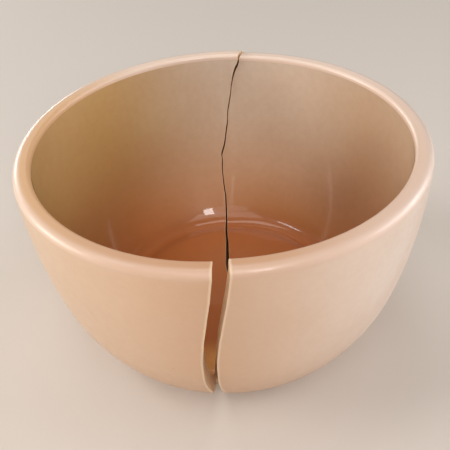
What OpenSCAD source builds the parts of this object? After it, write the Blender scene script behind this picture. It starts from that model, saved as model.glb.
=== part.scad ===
// Deep round stoneware bowl, broken clean through from rim to rim into two halves.
// The halves stand together on the bowl's foot, tight at the back and parted at the front.
// Millimetres. The bowl stands on z = 0, and the break's open end faces -Y.

/* [Bowl] */
// Outer diameter of the rim
rim_d = 140; // [110:1:180]
// Height from the foot's underside to the top of the rim
height = 82; // [64:1:100]
// Thickness of the side wall
wall = 6.1; // [4.5:0.1:7.5]
// Radius on the rim's outer edge
rim_out = 2.7; // [1:0.1:3]
// Radius on the rim's inner edge
rim_in = 1.4; // [0.6:0.1:1.5]
// Thickness of the floor above the recess in the foot
floor_t = 7; // [5:0.5:9]
// Radius between the floor and the side, inside
floor_fillet = 8; // [4:0.5:12]
// Radius of the upper side's curve, as a multiple of the height
side_bow = 2.34; // [2:0.02:3]
// Angle that the upper side's curve turns through, in degrees
side_turn = 14; // [8:1:16]

/* [Foot] */
// Outer diameter of the foot ring, as a share of the rim's
foot_share = 0.58; // [0.5:0.01:0.62]
// Width of the foot ring
foot_w = 4; // [3:0.5:7]
// Height of the body's underside above the table, just outside the foot
foot_h = 3.9; // [3:0.1:6]
// Depth of the recess inside the foot ring
recess = 3; // [1.5:0.5:5]
// Radius on the foot ring's edges
foot_round = 0.8; // [0.4:0.1:1.2]
// Radius where the side turns under to the foot
toe_r = 12; // [7:1:16]

/* [Break] */
// Width of the break where it is tightest, lost as grit
hairline = 0.45; // [0.2:0.05:0.6]
// Height of the small steps in the broken faces
grain = 0.1; // [0:0.02:0.4]

/* [How the halves stand] */
// Angle by which the halves are turned apart about the back of the floor, in degrees
spread = 1.65; // [1:0.05:4]
// Outward lean of the left half, in degrees
lean = 0.6; // [0.3:0.1:1.5]
// Forward tip of the left half, which lifts its back rim, in degrees
nod = 0.5; // [0:0.1:1]

/* [Hidden] */
clay_left = [0.84, 0.70, 0.56];
clay_right = [0.85, 0.72, 0.61];

rim_r = rim_d / 2;
foot_r = rim_r * foot_share;
cove = foot_h * 0.36;              // hollow between the foot ring and the underside
floor_z = recess + floor_t;
round_steps = 5;

// A round stretch of an outline: centre, radius, first and last angle, number of steps.
function arc(c, r, a0, a1, n) =
    [for (i = [0:n]) c + r * [cos(a0 + (a1 - a0) * i / n), sin(a0 + (a1 - a0) * i / n)]];
function dir(a) = [cos(a), sin(a)];
function angle_of(v) = atan2(v[1], v[0]);

// The side is one wide curve below the rim, which runs into a tighter belly curve,
// which runs into the toe curve above the foot. Each meets the next with no corner.
side_r = height * side_bow;
side_c = [rim_r - side_r, height];
toe_c = [foot_r + cove, foot_h + toe_r];
to_toe = toe_c - side_c;
span = side_r - toe_r;
belly_shift = (span * span - to_toe * to_toe) / (2 * (span - to_toe * dir(-side_turn)));
belly_r = side_r - belly_shift;
belly_c = side_c + belly_shift * dir(-side_turn);
toe_a = angle_of(toe_c - belly_c);

// The inside runs parallel to the outside, down to a flat floor with a fillet around it.
fillet_drop = belly_c[1] - floor_z - floor_fillet;
fillet_reach = belly_r - wall - floor_fillet;
fillet_c = [belly_c[0] + sqrt(fillet_reach * fillet_reach - fillet_drop * fillet_drop),
            floor_z + floor_fillet];
fillet_a = angle_of(fillet_c - belly_c);
outer_rim_a = -asin(rim_out / side_r);
inner_rim_a = -asin(rim_in / (side_r - wall));

outer_line = concat(
    [[0, recess]],
    arc([foot_r - foot_w - 1, recess - 1], 1, 90, 0, 3),
    arc([foot_r - foot_w + foot_round, foot_round], foot_round, 180, 270, 3),
    arc([foot_r - foot_round, foot_round], foot_round, 270, 360, 3),
    arc([foot_r + cove, foot_h - cove], cove, 180, 90, 4),
    arc(toe_c, toe_r, -90, toe_a, 7),
    arc(belly_c, belly_r, toe_a, -side_turn, 9),
    arc(side_c, side_r, -side_turn, outer_rim_a, 6));

inner_line = concat(
    arc(side_c, side_r - wall, inner_rim_a, -side_turn, 6),
    arc(belly_c, belly_r - wall, -side_turn, fillet_a, 9),
    arc(fillet_c, floor_fillet, fillet_a, -90, 5),
    [[0, floor_z]]);

rim_line = concat(
    arc([rim_r - rim_out, height - rim_out], rim_out, 0, 90, round_steps),
    arc([rim_r - wall + rim_in, height - rim_in], rim_in, 90, 180, round_steps));

// Neighbouring stretches share an end point, so each point is kept once.
function once(pts) = [for (i = [0:len(pts) - 1])
    if (norm(pts[i] - pts[(i + 1) % len(pts)]) > 0.02) pts[i]];

module whole_bowl() {
    rotate_extrude($fn = 180) polygon(once(concat(outer_line, rim_line, inner_line)));
}

// The break's course through the middle of the wall, from above the back rim, down the
// back, across the floor, and up the front: [y, x] as shares of the rim's radius around
// a share of the height in the middle.
course = [
    [0.985, 1.2, 0.209], [0.957, 1, 0.149], [0.956, 0.966, 0.144], [0.956, 0.942, 0.129],
    [0.954, 0.9, 0.112], [0.95, 0.846, 0.097], [0.944, 0.782, 0.086], [0.935, 0.712, 0.069],
    [0.929, 0.671, 0.061], [0.922, 0.634, 0.058], [0.913, 0.588, 0.048], [0.901, 0.535, 0.038],
    [0.891, 0.497, 0.028], [0.881, 0.458, 0.012], [0.876, 0.443, 0.006], [0.866, 0.41, 0.008],
    [0.847, 0.361, 0.004], [0.792, 0.252, 0.009], [0.775, 0.225, 0.013], [0.745, 0.182, 0.013],
    [0.688, 0.127, 0.009], [0.6, 0.08, 0.005], [0.46, 0.08, 0.004], [0.3, 0.08, -0.002],
    [0.1, 0.08, -0.011], [-0.1, 0.08, -0.032], [-0.3, 0.08, -0.058], [-0.48, 0.08, -0.079],
    [-0.66, 0.115, -0.096], [-0.746, 0.184, -0.102], [-0.813, 0.289, -0.116],
    [-0.847, 0.359, -0.12], [-0.892, 0.5, -0.118], [-0.909, 0.569, -0.11],
    [-0.923, 0.639, -0.101], [-0.944, 0.779, -0.075], [-0.952, 0.872, -0.058],
    [-0.956, 0.954, -0.044], [-0.956, 1, -0.04], [-0.985, 1.2, 0]];
steps = 2;
function between(a, b, t) = a + (b - a) * t;
function ripple(s) = grain * (sin(s * 97) * 0.6 + sin(s * 211 + 40) * 0.4);
line = [for (i = [0:len(course) - 2], j = [0:steps - 1])
    let (p = between(course[i], course[i + 1], j / steps), s = i * steps + j)
    [p[2] * rim_r + ripple(s), p[0] * rim_r, p[1] * height]];
last = course[len(course) - 1];
edge = concat(line, [[last[2] * rim_r, last[0] * rim_r, last[1] * height]]);

// The broken face is a fan of strips that spreads from a level line inside the bowl
// through that course, so it slants through the wall: its outer edge lies further right
// than its inner one, and by more at the back than at the front.
last_row = len(edge) - 1;
eye_z = 0.75 * height;
function eye(i) = let (y = edge[i][1] / rim_r)
    [between(-0.17, -0.05, 0.4 * (1 - y) + 0.2 * i / last_row) * rim_r, 0, eye_z];
reach = 1.35 * (rim_r + height);
eyes = [for (i = [0:last_row]) eye(i)];
fan = [for (i = [0:last_row])
    let (v = edge[i] - eyes[i]) eyes[i] + v * reach / norm([v[1], v[2]])];

// One side of the break as a block: side = -1 is left of it, +1 is right of it.
module side_block(side) {
    n = len(fan);
    flat_x = side * 2 * rim_r;
    points = concat(eyes, fan, [for (p = fan) [flat_x, p[1], p[2]]], [[flat_x, 0, eye_z]]);
    strips = [for (i = [0:n - 2]) each [[i, n + i, n + i + 1], [i, n + i + 1, i + 1]]];
    above = concat([[n - 1, 2 * n - 1, n]], [for (i = [0:n - 2]) [n, i, i + 1]]);
    around = [for (i = [0:n - 1]) each
        let (a = n + i, b = n + (i + 1) % n) [[a, a + n, b + n, b], [3 * n, b + n, a + n]]];
    faces = concat(strips, above, around);
    translate([side * hairline / 2, 0, 0])
        polyhedron(points, side < 0 ? [for (f = faces) [for (i = [len(f) - 1:-1:0]) f[i]]] : faces);
}

hinge = [0, 0.78 * rim_r, 0];
module turned(a) { translate(hinge) rotate([0, 0, a]) translate(-hinge) children(); }

// The left half leans out and forward, and so it stands on one point of its foot ring.
lift = (foot_r - foot_round) * norm([sin(lean), sin(nod) * cos(lean)]);

module left_half() {
    color(clay_left)
    turned(-spread / 2) translate([0, 0, lift]) rotate([nod, -lean, 0])
    intersection() { whole_bowl(); side_block(-1); }
}

// The right half stands flat on its half of the foot ring.
module right_half() {
    color(clay_right)
    turned(spread / 2)
    intersection() { whole_bowl(); side_block(1); }
}

left_half();
right_half();
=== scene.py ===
import math

import bmesh
import bpy
from mathutils import Matrix, Vector, noise


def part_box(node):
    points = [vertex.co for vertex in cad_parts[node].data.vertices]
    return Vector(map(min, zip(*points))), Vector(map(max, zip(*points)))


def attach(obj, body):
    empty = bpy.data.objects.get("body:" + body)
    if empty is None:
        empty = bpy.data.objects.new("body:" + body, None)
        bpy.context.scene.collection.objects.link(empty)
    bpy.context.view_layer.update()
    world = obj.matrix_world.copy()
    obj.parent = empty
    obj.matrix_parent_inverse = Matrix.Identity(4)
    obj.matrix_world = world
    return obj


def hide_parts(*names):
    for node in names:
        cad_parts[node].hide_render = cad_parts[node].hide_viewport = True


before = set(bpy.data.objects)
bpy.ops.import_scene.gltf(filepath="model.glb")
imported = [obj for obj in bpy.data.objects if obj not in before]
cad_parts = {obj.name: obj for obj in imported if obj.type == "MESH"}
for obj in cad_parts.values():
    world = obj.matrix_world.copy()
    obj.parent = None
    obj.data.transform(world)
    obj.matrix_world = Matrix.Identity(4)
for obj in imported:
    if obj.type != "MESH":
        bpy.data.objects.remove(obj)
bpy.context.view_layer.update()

# ---------------------------------------------------------------- sizes
# Sizes are in millimetres of this bowl, times MM, which comes from the frame.
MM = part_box("right_half")[1][2] / 82.0
RIM_R = 70.0 * MM
HEIGHT = 82.0 * MM
WALL = 6.1 * MM
RIM_OUT, RIM_IN = 2.7 * MM, 1.4 * MM     # radius on the rim's outer and inner edge
FLOOR_Z = 10.0 * MM
FLOOR_FILLET = 8.0 * MM
SIDE_R = 2.34 * HEIGHT
SIDE_TURN = 14.0                   # degrees
TOE_R = 12.0 * MM
FOOT_R = 0.58 * RIM_R
FOOT_W = 4.0 * MM
FOOT_H = 3.9 * MM
FOOT_ROUND = 0.8 * MM
RECESS = 3.0 * MM
RECESS_FILLET = 1.0 * MM
COVE = 0.36 * FOOT_H
HAIR = 0.01 * MM                   # slack when asking whether a place is above the floor

# How the halves stand, in degrees, and the line about which they are turned apart.
SPREAD = 1.65
LEAN = 0.6
NOD = 0.5
HINGE = Vector((0, 0.78 * RIM_R, 0))

# The break's course through the middle of the wall: depth and sideways place as shares of
# the rim's radius around height as a share of the bowl's, from the back rim to the front rim.
COURSE = [
    (0.985, 1.200, 0.209), (0.957, 1.000, 0.149), (0.956, 0.966, 0.144),
    (0.956, 0.942, 0.129), (0.954, 0.900, 0.112), (0.950, 0.846, 0.097),
    (0.944, 0.782, 0.086), (0.935, 0.712, 0.069), (0.929, 0.671, 0.061),
    (0.922, 0.634, 0.058), (0.913, 0.588, 0.048), (0.901, 0.535, 0.038),
    (0.891, 0.497, 0.028), (0.881, 0.458, 0.012), (0.876, 0.443, 0.006),
    (0.866, 0.410, 0.008), (0.847, 0.361, 0.004), (0.792, 0.252, 0.009),
    (0.775, 0.225, 0.013), (0.745, 0.182, 0.013), (0.688, 0.127, 0.009),
    (0.600, 0.080, 0.005), (0.460, 0.080, 0.004), (0.300, 0.080, -0.002),
    (0.100, 0.080, -0.011), (-0.100, 0.080, -0.032), (-0.300, 0.080, -0.058),
    (-0.480, 0.080, -0.079), (-0.660, 0.115, -0.096), (-0.746, 0.184, -0.102),
    (-0.813, 0.289, -0.116), (-0.847, 0.359, -0.120), (-0.892, 0.500, -0.118),
    (-0.909, 0.569, -0.110), (-0.923, 0.639, -0.101), (-0.944, 0.779, -0.075),
    (-0.952, 0.872, -0.058), (-0.956, 0.954, -0.044), (-0.956, 1.000, -0.040),
    (-0.985, 1.200, 0.000)]
EYE_BACK, EYE_FRONT = -0.17 * RIM_R, -0.05 * RIM_R    # the break's root, at its two ends
EYE_Z = 0.75 * HEIGHT
RIPPLE, FINE_RIPPLE = 0.07 * MM, 0.02 * MM            # how far the face wanders off its course
BACK_SLANT = 0.14                  # how much more the break slants near the back rim
FLOOR_SWAY = 1.1 * MM              # how far the break sways right on the floor's front half

KERF = 0.10 * MM                   # grit lost from each side of the break
BACK_TIGHT = 0.9                   # share of it that is not lost in the back wall
BACK_FULL = 0.12 * MM              # how much fuller each face is high in the back wall
GRAIN, FINE_GRAIN = 0.10 * MM, 0.05 * MM              # roughness of the bare clay
GRAIN_EASE = 0.5 * MM              # how far from the skins that roughness begins
WORN_EASE = 4.0 * MM               # how far from the break the mesh gives way for lost grit
EASE = 25.0 * MM                   # how far from the break the mesh is drawn along with it
ROUND_FROM, ROUND_TO = 16.0 * MM, 26.0 * MM           # radii where the wall turns truly round

# Steps of the mesh along the outline, around the bowl and through the wall.
STEPS_RECESS, STEPS_FOOT, STEPS_BELLY, STEPS_SIDE, STEPS_RIM = 50, 36, 64, 66, 12
STEPS_AROUND = 150
STEPS_THROUGH = 18
CROWD = 0.3                        # draws the steps around the bowl towards the break
CLOSE, NEEDLE = 0.003 * MM, 0.0002 * MM               # points and edges too short to keep
SHARP = 48.0                       # degrees

OUTSIDE, INSIDE, BROKEN = 0, 1, 2  # material slots of each half
MEASURES = ("depth", "inward", "near", "reach")       # what the mesh carries for its finishes

# Soft lamps: place in metres, width, height, power in watts and tint.
LAMPS = {
    "window": ((-0.75, 1.05, 0.36), 0.8, 0.35, 4.6, (1.0, 0.98, 0.97)),
    "overhead": ((-0.1, 0.25, 1.25), 0.5, 0.4, 2.1, (1.0, 0.95, 0.89)),
    "left": ((-1.2, 0.0, 0.42), 0.6, 0.45, 8.6, (1.0, 0.95, 0.89)),
    "right": ((1.15, 0.1, 0.35), 0.8, 0.6, 7.4, (0.98, 0.98, 1.0)),
    "slit": ((0.27, -1.05, 0.80), 0.18, 0.45, 4.2, (1.0, 0.98, 0.97)),
    "high_left": ((-0.62, -0.08, 1.02), 0.4, 0.12, 1.3, (0.95, 0.96, 1.0)),
    "front": ((0.0, -0.8, 1.1), 1.1, 0.8, 4.6, (1.0, 0.94, 0.88)),
    "low_front": ((0.0, -1.25, 0.55), 0.8, 0.6, 2.1, (1.0, 0.91, 0.82))}
SKY, SKY_TINT = 0.12, (1.0, 0.97, 0.94, 1.0)          # the even light from all round
BACKDROP = (222, 214, 206)
FLOOR_TONE = (214, 206, 198)
FLOOR_REACH = 1.3                  # metres

CAMERA_AT = (-0.033, -2.983, 1.770)                   # in rim radii from the middle of the rim
CAMERA_PITCH, CAMERA_YAW, CAMERA_ROLL = 37.93, 0.35, 3.39
CAMERA_LENS, CAMERA_SENSOR = 56.0, 36.0               # millimetres of the camera
CAMERA_NEAR = 0.01


# ---------------------------------------------------------------- outline of the bowl
def arc(centre, radius, start, end, steps=24):
    """A round stretch of an outline, with its angles in degrees."""
    angles = [math.radians(start + (end - start) * i / steps) for i in range(steps + 1)]
    return [Vector((centre[0] + radius * math.cos(a), centre[1] + radius * math.sin(a)))
            for a in angles]


def angle_of(line):
    return math.degrees(math.atan2(line[1], line[0]))


def side_curves():
    """Centres of the side's, belly's and toe's curves, each running into the next."""
    side_c = Vector((RIM_R - SIDE_R, HEIGHT))
    toe_c = Vector((FOOT_R + COVE, FOOT_H + TOE_R))
    turn = Vector((math.cos(math.radians(SIDE_TURN)), -math.sin(math.radians(SIDE_TURN))))
    to_toe = toe_c - side_c
    span = SIDE_R - TOE_R
    shift = (span * span - to_toe.dot(to_toe)) / (2 * (span - to_toe.dot(turn)))
    return side_c, side_c + shift * turn, SIDE_R - shift, toe_c


SIDE_C, BELLY_C, BELLY_R, TOE_C = side_curves()
BELLY_TOP_Z = SIDE_C[1] - SIDE_R * math.sin(math.radians(SIDE_TURN))


def resample(points, steps):
    """The same line in equal steps of length."""
    lengths = [0.0]
    for a, b in zip(points, points[1:]):
        lengths.append(lengths[-1] + (b - a).length)
    out, k = [], 0
    for i in range(steps + 1):
        want = lengths[-1] * i / steps
        while k < len(points) - 2 and lengths[k + 1] < want:
            k += 1
        run = lengths[k + 1] - lengths[k]
        out.append(points[k].lerp(points[k + 1], (want - lengths[k]) / run if run else 0))
    return out


def joined(*stretches):
    """One line from stretches that each begin where the last one ends."""
    line = list(stretches[0])
    for stretch in stretches[1:]:
        line += stretch[1:]
    return line


def outer_line():
    """The outside of the wall, from the middle of the recess to the top of the rim."""
    foot_in = FOOT_R - FOOT_W
    recess_end = Vector((foot_in - RECESS_FILLET, RECESS))
    foot = (arc((foot_in - RECESS_FILLET, RECESS - RECESS_FILLET), RECESS_FILLET, 90, 0)
            + arc((foot_in + FOOT_ROUND, FOOT_ROUND), FOOT_ROUND, 180, 270)
            + arc((FOOT_R - FOOT_ROUND, FOOT_ROUND), FOOT_ROUND, 270, 360)
            + arc((FOOT_R + COVE, FOOT_H - COVE), COVE, 180, 90))
    toe_a = angle_of(TOE_C - BELLY_C)
    belly = arc(TOE_C, TOE_R, -90, toe_a) + arc(BELLY_C, BELLY_R, toe_a, -SIDE_TURN, 48)
    side = arc(SIDE_C, SIDE_R, -SIDE_TURN, -math.degrees(math.asin(RIM_OUT / SIDE_R)), 48)
    return joined(
        resample([Vector((0, RECESS)), recess_end], STEPS_RECESS),
        resample(foot, STEPS_FOOT), resample(belly, STEPS_BELLY),
        resample(side, STEPS_SIDE),
        arc((RIM_R - RIM_OUT, HEIGHT - RIM_OUT), RIM_OUT, 0, 90, STEPS_RIM))


def inner_line():
    """The inside of the wall, with as many points as the outside and each beside its own."""
    drop = BELLY_C[1] - FLOOR_Z - FLOOR_FILLET
    reach = BELLY_R - WALL - FLOOR_FILLET
    fillet_c = Vector((BELLY_C[0] + math.sqrt(reach * reach - drop * drop), FLOOR_Z + FLOOR_FILLET))
    fillet_a = angle_of(fillet_c - BELLY_C)
    belly = (arc(fillet_c, FLOOR_FILLET, -90, fillet_a)
             + arc(BELLY_C, BELLY_R - WALL, fillet_a, -SIDE_TURN, 48))
    side_r = SIDE_R - WALL
    side = arc(SIDE_C, side_r, -SIDE_TURN, -math.degrees(math.asin(RIM_IN / side_r)), 48)
    over_recess = Vector((FOOT_R - FOOT_W - RECESS_FILLET, FLOOR_Z))
    return joined(
        resample([Vector((0, FLOOR_Z)), over_recess], STEPS_RECESS),
        resample([over_recess, Vector((fillet_c[0], FLOOR_Z))], STEPS_FOOT),
        resample(belly, STEPS_BELLY), resample(side, STEPS_SIDE),
        arc((RIM_R - WALL + RIM_IN, HEIGHT - RIM_IN), RIM_IN, 180, 90, STEPS_RIM))


def through_wall():
    """Shares of the wall's thickness, close together near both skins."""
    return [0.5 - 0.5 * math.cos(math.pi * j / STEPS_THROUGH) for j in range(STEPS_THROUGH + 1)]


def skin_radius(z, inset):
    """Radius at height z of a surface that lies inset from the outside of the wall."""
    if z > BELLY_TOP_Z:
        r, centre = SIDE_R - inset, SIDE_C
    else:
        r, centre = BELLY_R - inset, BELLY_C
    return centre[0] + math.sqrt(max(r * r - (z - centre[1]) ** 2, 0.0))


def is_inside(r, z):
    return z > FLOOR_Z - HAIR and r < skin_radius(z, WALL / 2)


# ---------------------------------------------------------------- the break
def rise(value, start, end):
    """Goes smoothly from 0 at start to 1 at end, and stays level beyond them."""
    t = min(max((value - start) / (end - start), 0.0), 1.0)
    return t * t * (3 - 2 * t)


def turn_about_eye(y, z):
    """Angle of a place as seen from the break's root, which falls from back to front."""
    a = math.atan2(z - EYE_Z, y)
    return a - 2 * math.pi if a > math.pi / 2 else a


def break_slopes():
    """The break's angle, sideways slope and root for each row of its course."""
    rows = []
    for k, (y, z, x) in enumerate(COURSE):
        along = 0.4 * (1 - y) + 0.2 * k / (len(COURSE) - 1)
        root = EYE_BACK + (EYE_FRONT - EYE_BACK) * along
        y, z, x = y * RIM_R, z * HEIGHT, x * RIM_R
        rows.append((turn_about_eye(y, z), (x - root) / math.hypot(y, z - EYE_Z), root))
    return sorted(rows)


SLOPES = break_slopes()


def slope_and_root(a):
    """Sideways slope and root of the break at angle a, on curves through its course."""
    k = 1
    while k < len(SLOPES) - 3 and SLOPES[k + 1][0] < a:
        k += 1
    near = SLOPES[k - 1:k + 3]
    a0, a1, a2, a3 = (row[0] for row in near)
    t = (a - a1) / (a2 - a1)
    both = []
    for part in (1, 2):
        p0, p1, p2, p3 = (row[part] for row in near)
        m1 = (p2 - p0) / (a2 - a0) * (a2 - a1)
        m2 = (p3 - p1) / (a3 - a1) * (a2 - a1)
        both.append((2 * t ** 3 - 3 * t ** 2 + 1) * p1 + (t ** 3 - 2 * t ** 2 + t) * m1
                    + (-2 * t ** 3 + 3 * t ** 2) * p2 + (t ** 3 - t ** 2) * m2)
    return both


def break_x(y, z):
    """Sideways place of the break's face at depth y and height z."""
    a = turn_about_eye(y, z)
    slope, root = slope_and_root(a)
    x = root + slope * math.hypot(y, z - EYE_Z)
    x += RIPPLE * noise.noise(Vector((a * 9.0, 3.1, 0)))
    x += FINE_RIPPLE * noise.noise(Vector((a * 31.0, 7.7, 0)))
    front_half = rise(y / MM, 16, 6) * rise(y / MM, -32, -16)
    x += FLOOR_SWAY * front_half * rise(z / MM, 24, 16)
    if y > 0:
        slant = BACK_SLANT * rise(z / HEIGHT, 0.76, 0.90)
        x += slant * max(math.hypot(x, y) - skin_radius(z, WALL), 0.0)
    return x


def outward(r, z):
    """1 on the outside of the wall and 0 on its inside, easing over across the rim."""
    if z < FLOOR_Z - HAIR:
        return 1.0
    return rise((r - skin_radius(z, WALL / 2)) / MM, -0.8, 0.8)


def worn_edge(side, y, z, out):
    """How far the edge of the break is eased back, and how deep that goes."""
    chip = rise(noise.noise(Vector((side * 31.0, y / MM * 0.35, z / MM * 0.35))), 0.34, 0.74)
    ragged = 0.5 + 0.5 * noise.noise(Vector((side * 17.0, y / MM * 0.5, z / MM * 0.5)))
    front = rise(y / MM, -10, -50) * out
    high = rise(z / MM, 50, 72) if y > 0 else 0.0
    width = (0.04 + 0.03 * ragged + 0.10 * chip) * (1 - 0.7 * high) + front * (0.16 + 0.06 * ragged)
    deep = 0.15 + 0.15 * chip + 0.55 * front
    return width * MM, deep * MM


def face_loss(y, z):
    """How far a broken face lies back from the break's middle, least high in the back wall."""
    if y <= 0:
        return KERF
    high = z / HEIGHT
    full = rise(high, 0.5, 0.8) * rise(high, 0.95, 0.85)
    return KERF * (1 - BACK_TIGHT * rise(high, 0.2, 0.5)) - BACK_FULL * full


def grain(y, z):
    """Fine roughness of the bare clay, always into the body."""
    place = Vector((5.0, y / MM, z / MM))
    coarse = 0.5 + 0.5 * noise.noise(place * 0.35)
    fine = 0.5 + 0.5 * noise.fractal(place * 1.6, 0.9, 2.1, 3)
    return GRAIN * coarse + FINE_GRAIN * max(fine, 0.0)


def settle(side, x, y, z, out, depth=0.0):
    """Carries a point of the even half bowl to its place along the break."""
    away = abs(x)
    width, deep = worn_edge(side, y, z, out)
    lost = face_loss(y, z) + width * max(0.0, 1 - depth / deep) ** 2
    if depth > 0:
        lost += grain(y, z) * rise(depth, 0.0, GRAIN_EASE)
    r = math.hypot(x, y)
    x += side * lost * (1 - rise(away, 0.0, WORN_EASE))
    x += break_x(y, z) * (1 - rise(away, 0.0, EASE))
    now = math.hypot(x, y)
    if now > 0:
        keep = 1 + (r / now - 1) * rise(r, ROUND_FROM, ROUND_TO)
        x, y = x * keep, y * keep
    return Vector((x, y, z))


def standing(side):
    """Where a half stands: the right one flat on its foot, the left one leaning a little."""
    turn = Matrix.Rotation(math.radians(side * SPREAD / 2), 4, "Z")
    apart = Matrix.Translation(HINGE) @ turn @ Matrix.Translation(-HINGE)
    if side > 0:
        return apart
    lean, nod = math.radians(LEAN), math.radians(NOD)
    lift = (FOOT_R - FOOT_ROUND) * math.hypot(math.sin(lean), math.sin(nod) * math.cos(lean))
    tilt = Matrix.Rotation(-lean, 4, "Y") @ Matrix.Rotation(nod, 4, "X")
    return apart @ Matrix.Translation((0, 0, lift)) @ tilt


# ---------------------------------------------------------------- the two halves
def spin_shell(bm, side, outer, inner, layers):
    """Spins the wall's outline half way round and draws its cut edge along the break."""
    land = [outer[-1].lerp(inner[-1], share) for share in through_wall()[1:-1]]
    line = outer + land + inner[::-1]
    verts = [bm.verts.new((0, p[0], p[1])) for p in line]
    edges = [bm.edges.new(pair) for pair in zip(verts, verts[1:])]
    bmesh.ops.spin(bm, geom=verts + edges, cent=(0, 0, 0), axis=(0, 0, 1),
                   angle=-side * math.pi, steps=STEPS_AROUND, use_merge=False)
    rim_z = HEIGHT - 1.5 * RIM_IN
    for face in bm.faces:
        middle = face.calc_center_median()
        inside = is_inside(math.hypot(middle.x, middle.y), middle.z) and middle.z < rim_z
        face.material_index = INSIDE if inside else OUTSIDE
    for v in bm.verts:
        x, y, z = v.co
        r, turn = math.hypot(x, y), math.atan2(abs(x), y)
        turn -= CROWD * math.sin(2 * turn)
        x = r * math.sin(turn)
        v[layers["near"]] = x / MM
        v[layers["reach"]] = r / MM
        v.co = settle(side, side * x, r * math.cos(turn), z, outward(r, z))


def broken_face(bm, side, outer, inner, layers):
    """The face of the break: a grid that runs from skin to skin and from rim to rim."""
    steps = len(outer) - 1
    shares = through_wall()
    made = bmesh.ops.create_grid(bm, x_segments=2 * steps, y_segments=STEPS_THROUGH, size=1.0)
    for v in made["verts"]:
        i = round(v.co.x * steps)
        share = shares[round((v.co.y + 1) / 2 * STEPS_THROUGH)]
        a, b = outer[abs(i)], inner[abs(i)]
        r, z = a.lerp(b, share)
        thick = (b - a).length
        depth = max(0.0, min(share * thick, (1 - share) * thick, HEIGHT - z))
        v[layers["depth"]] = depth / MM
        v[layers["inward"]] = share
        v[layers["reach"]] = r / MM
        y = -r if i < 0 else r
        v.co = settle(side, 0.0, y, z, outward(r, z), depth)
        for face in v.link_faces:
            face.material_index = BROKEN


def half_bowl(name, side, materials):
    """One half, closed: side = -1 is the left one and +1 the right one."""
    outer, inner = outer_line(), inner_line()
    bm = bmesh.new()
    for measure in MEASURES:
        bm.verts.layers.float.new(measure)
    layers = {measure: bm.verts.layers.float[measure] for measure in MEASURES}
    spin_shell(bm, side, outer, inner, layers)
    broken_face(bm, side, outer, inner, layers)
    bmesh.ops.remove_doubles(bm, verts=bm.verts, dist=CLOSE)
    bmesh.ops.dissolve_degenerate(bm, edges=bm.edges, dist=NEEDLE)
    bmesh.ops.recalc_face_normals(bm, faces=bm.faces)
    for face in bm.faces:
        face.smooth = True
    bmesh.ops.transform(bm, matrix=standing(side), verts=bm.verts)
    half = placed(bm, name, materials)
    half.data.set_sharp_from_angle(angle=math.radians(SHARP))
    return half


def placed(bm, name, materials):
    """An object made of a finished bmesh, with its materials in the order of their slots."""
    mesh = bpy.data.meshes.new(name)
    bm.to_mesh(mesh)
    bm.free()
    for material in materials:
        mesh.materials.append(material)
    piece = bpy.data.objects.new(name, mesh)
    bpy.context.scene.collection.objects.link(piece)
    return piece


# ---------------------------------------------------------------- materials
def colour(r, g, b):
    """A colour as it shows on a screen, 0 to 255, as the shader wants it."""
    def linear(c):
        c /= 255.0
        return c / 12.92 if c <= 0.04045 else ((c + 0.055) / 1.055) ** 2.4
    return (linear(r), linear(g), linear(b), 1.0)


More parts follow.
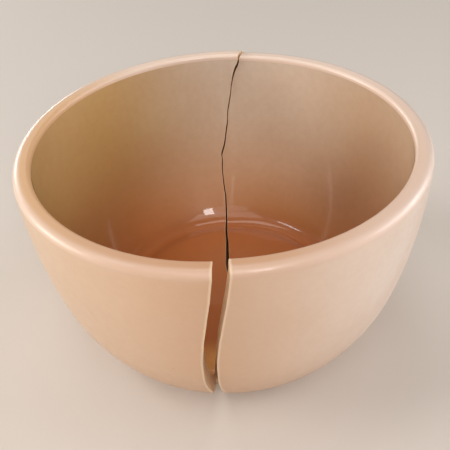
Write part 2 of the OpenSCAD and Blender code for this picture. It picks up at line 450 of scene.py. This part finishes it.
class Finish:
    """A small helper that lays out one material's nodes."""

    def __init__(self, name):
        self.material = bpy.data.materials.new(name)
        self.material.use_nodes = True
        self.nodes = self.material.node_tree.nodes
        self.links = self.material.node_tree.links
        self.shader = self.nodes["Principled BSDF"]
        self.place = self.nodes.new("ShaderNodeTexCoord").outputs["Object"]

    def feed(self, socket, value):
        """Sets a socket to a plain value, or links another node's output to it."""
        if isinstance(value, (int, float, tuple)):
            socket.default_value = value
        else:
            self.links.new(value, socket)

    def set(self, **values):
        """Sets the shader's own sockets, named with _ for each space."""
        for name, value in values.items():
            self.feed(self.shader.inputs[name.replace("_", " ")], value)

    def along(self, axis):
        split = self.nodes.new("ShaderNodeSeparateXYZ")
        self.feed(split.inputs["Vector"], self.place)
        return split.outputs[axis]

    def measure(self, name):
        """A measure that the mesh carries with it."""
        carried = self.nodes.new("ShaderNodeAttribute")
        carried.attribute_name = name
        return carried.outputs["Fac"]

    def noise(self, per_metre, detail, rough):
        clouds = self.nodes.new("ShaderNodeTexNoise")
        clouds.inputs["Scale"].default_value = per_metre
        clouds.inputs["Detail"].default_value = detail
        clouds.inputs["Roughness"].default_value = rough
        self.feed(clouds.inputs["Vector"], self.place)
        return clouds.outputs["Fac"]

    def dots(self, per_metre, radius, share):
        """Sparse round specks: 1 inside a speck, 0 outside."""
        cells = self.nodes.new("ShaderNodeTexVoronoi")
        cells.inputs["Scale"].default_value = per_metre
        self.feed(cells.inputs["Vector"], self.place)
        near = self.spread(cells.outputs["Distance"], radius, radius * 0.55, 0.0, 1.0)
        pick = self.nodes.new("ShaderNodeSeparateColor")
        self.feed(pick.inputs["Color"], cells.outputs["Color"])
        few = self.spread(pick.outputs["Red"], 1 - share, 1 - share * 0.9, 0.0, 1.0)
        return self.times(near, few)

    def spread(self, value, low, high, to_low, to_high, soft=True):
        """Turns a value's run from low to high into one from to_low to to_high."""
        node = self.nodes.new("ShaderNodeMapRange")
        node.interpolation_type = "SMOOTHSTEP" if soft else "LINEAR"
        ends = {"From Min": low, "From Max": high, "To Min": to_low, "To Max": to_high}
        for name, end in ends.items():
            node.inputs[name].default_value = end
        self.feed(node.inputs["Value"], value)
        return node.outputs["Result"]

    def maths(self, what, a, b):
        node = self.nodes.new("ShaderNodeMath")
        node.operation = what
        self.feed(node.inputs[0], a)
        self.feed(node.inputs[1], b)
        return node.outputs[0]

    def times(self, a, b):
        return self.maths("MULTIPLY", a, b)

    def mix(self, share, a, b):
        """Tone a, with tone b over it by its share."""
        node = self.nodes.new("ShaderNodeMix")
        node.data_type = "RGBA"
        self.feed(node.inputs["Factor"], share)
        for name, tone in (("A", a), ("B", b)):
            self.feed([s for s in node.inputs if s.name == name and s.type == "RGBA"][0], tone)
        return [s for s in node.outputs if s.type == "RGBA"][0]

    def ramp(self, value, *stops):
        """Tones at places of a value, in millimetres, running evenly from each to the next."""
        low, high = stops[0][0] * MM, stops[-1][0] * MM
        node = self.nodes.new("ShaderNodeValToRGB")
        line = node.color_ramp.elements
        while len(line) < len(stops):
            line.new(0.5)
        for k, (place, tone) in enumerate(stops):
            line[k].position = (place * MM - low) / (high - low)
            line[k].color = colour(*tone)
        self.feed(node.inputs["Fac"], self.spread(value, low, high, 0.0, 1.0, soft=False))
        return node.outputs["Color"]

    def bump(self, value, depth, strength, under=None):
        node = self.nodes.new("ShaderNodeBump")
        node.inputs["Distance"].default_value = depth
        node.inputs["Strength"].default_value = strength
        self.feed(node.inputs["Height"], value)
        if under is not None:
            self.feed(node.inputs["Normal"], under)
        return node.outputs["Normal"]


def side_tone_with_painted_light(f):
    """The cream of the side with painted light in it: golden at the left for painted warm light,
    greyer at the right for painted cool light, and darker at the front for painted shade.
    """
    front = f.ramp(f.along("X"), (-70, (230, 204, 178)), (-40, (225, 193, 164)),
                   (-6, (215, 175, 142)), (12, (222, 192, 168)),
                   (45, (230, 212, 198)), (70, (230, 213, 200)))
    behind = f.ramp(f.along("X"), (-70, (230, 204, 178)), (-25, (221, 188, 158)),
                    (25, (223, 192, 165)), (70, (230, 213, 200)))
    tone = f.mix(f.spread(f.along("Y"), -25 * MM, 25 * MM, 0.0, 1.0), front, behind)
    clouds = f.spread(f.noise(28, 3, 0.55), 0.35, 0.68, 0.0, 0.3)
    tone = f.mix(clouds, tone, colour(214, 182, 156))
    # Darker and warmer towards the bottom: painted shade under the belly.
    tone = f.mix(f.spread(f.along("Z"), 0.0, 40 * MM, 0.4, 0.0), tone, colour(205, 165, 132))
    mottle = f.spread(f.noise(420, 2, 0.6), 0.3, 0.7, 0.0, 0.08)
    return f.mix(mottle, tone, colour(196, 158, 130))


def rim_tone_with_painted_light(f):
    """The top of the rim with painted light in it: warm and darker at the front, golden at the left,
    and paler to the back, at its outer edge and at the right.
    """
    # Darker at the front, paler to the back and golden at the left: painted light and shade.
    tone = f.ramp(f.along("Y"), (-70, (206, 158, 122)), (-20, (222, 186, 156)), (60, (240, 218, 202)))
    tone = f.mix(f.spread(f.along("X"), -66 * MM, -30 * MM, 0.85, 0.0), tone, colour(218, 168, 114))
    # Paler along the outer rounding, less so at the front: a painted highlight.
    edge = f.times(f.spread(f.measure("reach"), 66.4, 69.2, 0.0, 0.75),
                   f.spread(f.along("Y"), -72 * MM, -30 * MM, 0.5, 1.0))
    tone = f.mix(edge, tone, colour(238, 216, 203))
    # Paler to the right: painted cool light.
    return f.mix(f.spread(f.along("X"), 5 * MM, 50 * MM, 0.0, 0.45), tone, colour(242, 218, 204))


def rim_gloss(f):
    """The shine along the rim's outer and inner lip, stronger to the back and the right."""
    outer_lip = f.times(f.spread(f.measure("reach"), 66.5, 68.5, 0.0, 1.0),
                        f.spread(f.along("Y"), -50 * MM, 10 * MM, 0.3, 1.0))
    inner_lip = f.times(f.spread(f.measure("reach"), 64.6, 66.0, 1.0, 0.0),
                        f.spread(f.along("X"), -30 * MM, 15 * MM, 0.05, 0.6))
    return f.maths("ADD", outer_lip, inner_lip)


def satin_glaze():
    """The outside and the rim: cream glaze with a satin face, faint clouds, few specks, and painted
    light and shade in its tones.
    """
    f = Finish("satin_cream_glaze")
    rim = f.spread(f.along("Z"), HEIGHT - 5 * MM, HEIGHT - 1 * MM, 0.0, 1.0)
    tone = f.mix(f.times(rim, 0.85), side_tone_with_painted_light(f), rim_tone_with_painted_light(f))
    tone = f.mix(f.times(f.dots(150, 0.04, 0.05), 0.5), tone, colour(146, 104, 76))
    pale_edge = f.spread(f.measure("near"), 0.1, 0.9, 0.8, 0.0)
    f.set(Base_Color=f.mix(pale_edge, tone, colour(238, 212, 182)))
    f.set(Roughness=f.spread(f.noise(180, 3, 0.6), 0.3, 0.7, 0.36, 0.48))
    f.set(Coat_Weight=f.times(rim, rim_gloss(f)), Coat_Roughness=0.22, Coat_IOR=1.5)
    fine = f.bump(f.noise(900, 2, 0.5), 0.02 * MM, 0.4)
    f.set(Normal=f.bump(f.noise(70, 1, 0.4), 0.05 * MM, 0.5, fine))
    f.set(Specular_IOR_Level=0.5, IOR=1.5)
    return f.material


def wall_tone(f, *tones):
    """The inside's tone from the floor up to the rim, on one side of the bowl."""
    return f.ramp(f.along("Z"), *zip((10, 17, 34, 56, 82), tones))


def tan_tone_with_painted_light(f):
    """The inside's tan with painted light in it: golden at the left for painted warm bounce light,
    pale in the middle, greyer at the right for painted cool light, and deeper and more orange down to
    the floor for painted shade and warm bounce light.
    """
    left = wall_tone(f, (180, 101, 46), (184, 114, 62), (180, 130, 80), (189, 152, 95),
                     (198, 163, 110))
    middle = wall_tone(f, (182, 103, 49), (197, 138, 93), (214, 178, 147), (221, 201, 178),
                       (226, 209, 190))
    right = wall_tone(f, (181, 102, 47), (188, 120, 74), (186, 138, 100), (192, 158, 126),
                      (204, 178, 150))
    tone = f.mix(f.spread(f.along("X"), -50 * MM, 5 * MM, 0.0, 1.0), left, middle)
    return f.mix(f.spread(f.along("X"), 32 * MM, 60 * MM, 0.0, 1.0), tone, right)


def gloss_glaze():
    """The inside: a clear gloss over tan, deeper and more orange towards the floor for painted shade
    and warm bounce light, with a darker ring at the floor's edge and a painted light patch low at the
    front.
    """
    f = Finish("clear_tan_glaze")
    reach = f.measure("reach")
    # A darker ring at the floor's edge.
    floor_edge_ring = f.times(f.spread(reach, 35.0, 39.5, 0.0, 1.0), f.spread(reach, 39.5, 41.0, 1.0, 0.0))
    tone = f.mix(f.times(floor_edge_ring, 0.35), tan_tone_with_painted_light(f), colour(140, 70, 30))
    # Lighter and more orange low on the front wall: a painted light patch, standing in for a
    # reflection and for light reaching it through the break.
    low_front = f.times(f.spread(f.along("Y"), -26 * MM, -38 * MM, 0.0, 0.9),
                        f.spread(f.along("Z"), 16 * MM, 30 * MM, 1.0, 0.0))
    tone = f.mix(low_front, tone, colour(240, 174, 98))
    clouds = f.spread(f.noise(24, 3, 0.55), 0.35, 0.68, 0.0, 0.14)
    tone = f.mix(clouds, tone, colour(176, 122, 76))
    mottle = f.spread(f.noise(350, 2, 0.6), 0.3, 0.7, 0.0, 0.07)
    tone = f.mix(mottle, tone, colour(150, 100, 62))
    tone = f.mix(f.times(f.dots(150, 0.04, 0.07), 0.6), tone, colour(104, 66, 42))
    pale_edge = f.spread(f.measure("near"), 0.0, 0.4, 0.35, 0.0)
    f.set(Base_Color=f.mix(pale_edge, tone, colour(216, 176, 134)))
    f.set(Roughness=f.spread(f.noise(220, 2, 0.5), 0.3, 0.7, 0.34, 0.42))
    f.set(Normal=f.bump(f.noise(60, 1, 0.4), 0.05 * MM, 0.5))
    f.set(Specular_IOR_Level=0.28, IOR=1.5, Coat_Weight=1.0, Coat_Roughness=0.04, Coat_IOR=1.4)
    return f.material


def broken_clay():
    """The faces of the break: bare fine clay, with the pale line of glaze along its edges, painted
    shade towards the inside of the wall, and painted shade in the back of the crack.
    """
    f = Finish("broken_clay")
    depth = f.measure("depth")
    grit = f.noise(1500, 3, 0.6)
    # Darker towards the inside of the wall: painted shade.
    inward = f.spread(f.measure("inward"), 0.0, 0.9, 0.0, 1.0)
    body = f.mix(inward, colour(234, 204, 170), colour(222, 182, 144))
    body = f.mix(f.spread(grit, 0.35, 0.65, 0.0, 0.22), body, colour(184, 142, 106))
    clouds = f.spread(f.noise(160, 3, 0.6), 0.4, 0.7, 0.0, 0.28)
    body = f.mix(clouds, body, colour(182, 138, 100))
    body = f.mix(f.times(f.dots(900, 0.22, 0.25), 0.4), body, colour(140, 100, 70))
    # Dark in the back half of the break, less so at the rim: painted shade in the narrow crack.
    painted_crack_shade = f.times(f.spread(f.along("Y"), -10 * MM, 40 * MM, 0.0, 0.85),
                    f.spread(f.along("Z"), HEIGHT - 8 * MM, HEIGHT, 1.0, 0.35))
    body = f.mix(painted_crack_shade, body, colour(92, 62, 46))
    glaze_line = f.spread(depth, 0.15, 0.60, 1.0, 0.0)
    f.set(Base_Color=f.mix(glaze_line, body, colour(232, 204, 172)))
    f.set(Roughness=f.spread(depth, 0.15, 0.4, 0.4, 0.88))
    f.set(Normal=f.bump(grit, 0.06 * MM, 0.6))
    f.set(Specular_IOR_Level=0.4)
    return f.material


# ---------------------------------------------------------------- floor, light and camera
def plain_floor():
    bm = bmesh.new()
    bmesh.ops.create_circle(bm, cap_ends=True, segments=128, radius=FLOOR_REACH)
    for face in bm.faces:
        face.normal_update()
        if face.normal.z < 0:
            face.normal_flip()
    f = Finish("pale_floor")
    f.set(Base_Color=colour(*FLOOR_TONE), Roughness=0.75, Specular_IOR_Level=0.2)
    placed(bm, "floor", [f.material])


def soft_lamp(name, place, width, height, power, tint):
    """An area lamp that looks at the middle of the bowl."""
    light = bpy.data.lights.new(name, "AREA")
    light.shape = "RECTANGLE"
    light.size, light.size_y = width, height
    light.energy = power
    light.color = tint
    lamp = bpy.data.objects.new(name, light)
    lamp.location = place
    towards = Vector((0, 0, HEIGHT / 2)) - Vector(place)
    lamp.rotation_euler = towards.to_track_quat("-Z", "Y").to_euler()
    bpy.context.scene.collection.objects.link(lamp)


def sky():
    """Faint even light, and a plain pale backdrop that only the camera sees."""
    world = bpy.data.worlds.new("studio")
    world.use_nodes = True
    nodes, links = world.node_tree.nodes, world.node_tree.links
    even = nodes["Background"]
    even.inputs["Color"].default_value = SKY_TINT
    even.inputs["Strength"].default_value = SKY
    backdrop = nodes.new("ShaderNodeBackground")
    backdrop.inputs["Color"].default_value = colour(*BACKDROP)
    seen = nodes.new("ShaderNodeLightPath").outputs["Is Camera Ray"]
    either = nodes.new("ShaderNodeMixShader")
    links.new(seen, either.inputs[0])
    links.new(even.outputs[0], either.inputs[1])
    links.new(backdrop.outputs[0], either.inputs[2])
    links.new(either.outputs[0], nodes["World Output"].inputs["Surface"])
    bpy.context.scene.world = world


def camera():
    data = bpy.data.cameras.new("camera")
    data.lens, data.sensor_width = CAMERA_LENS, CAMERA_SENSOR
    data.clip_start = CAMERA_NEAR
    eye = bpy.data.objects.new("camera", data)
    eye.location = Vector(CAMERA_AT) * RIM_R + Vector((0, 0, HEIGHT))
    look = (Matrix.Rotation(math.radians(-CAMERA_YAW), 4, "Z")
            @ Matrix.Rotation(math.radians(90 - CAMERA_PITCH), 4, "X")
            @ Matrix.Rotation(math.radians(-CAMERA_ROLL), 4, "Z"))
    eye.rotation_euler = look.to_euler()
    bpy.context.scene.collection.objects.link(eye)
    bpy.context.scene.camera = eye


def bowl():
    finishes = [satin_glaze(), gloss_glaze(), broken_clay()]
    for name, side, node, slot in (("left_half_shell", -1, "left_half", "glaze_left"),
                                   ("right_half_shell", 1, "right_half", "glaze_right")):
        half = half_bowl(name, side, finishes)
        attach(half, "root")
        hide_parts(node)


bpy.context.scene.view_settings.view_transform = "Standard"
camera()
sky()
for lamp_name, lamp_values in LAMPS.items():
    soft_lamp(lamp_name, *lamp_values)
plain_floor()
bowl()
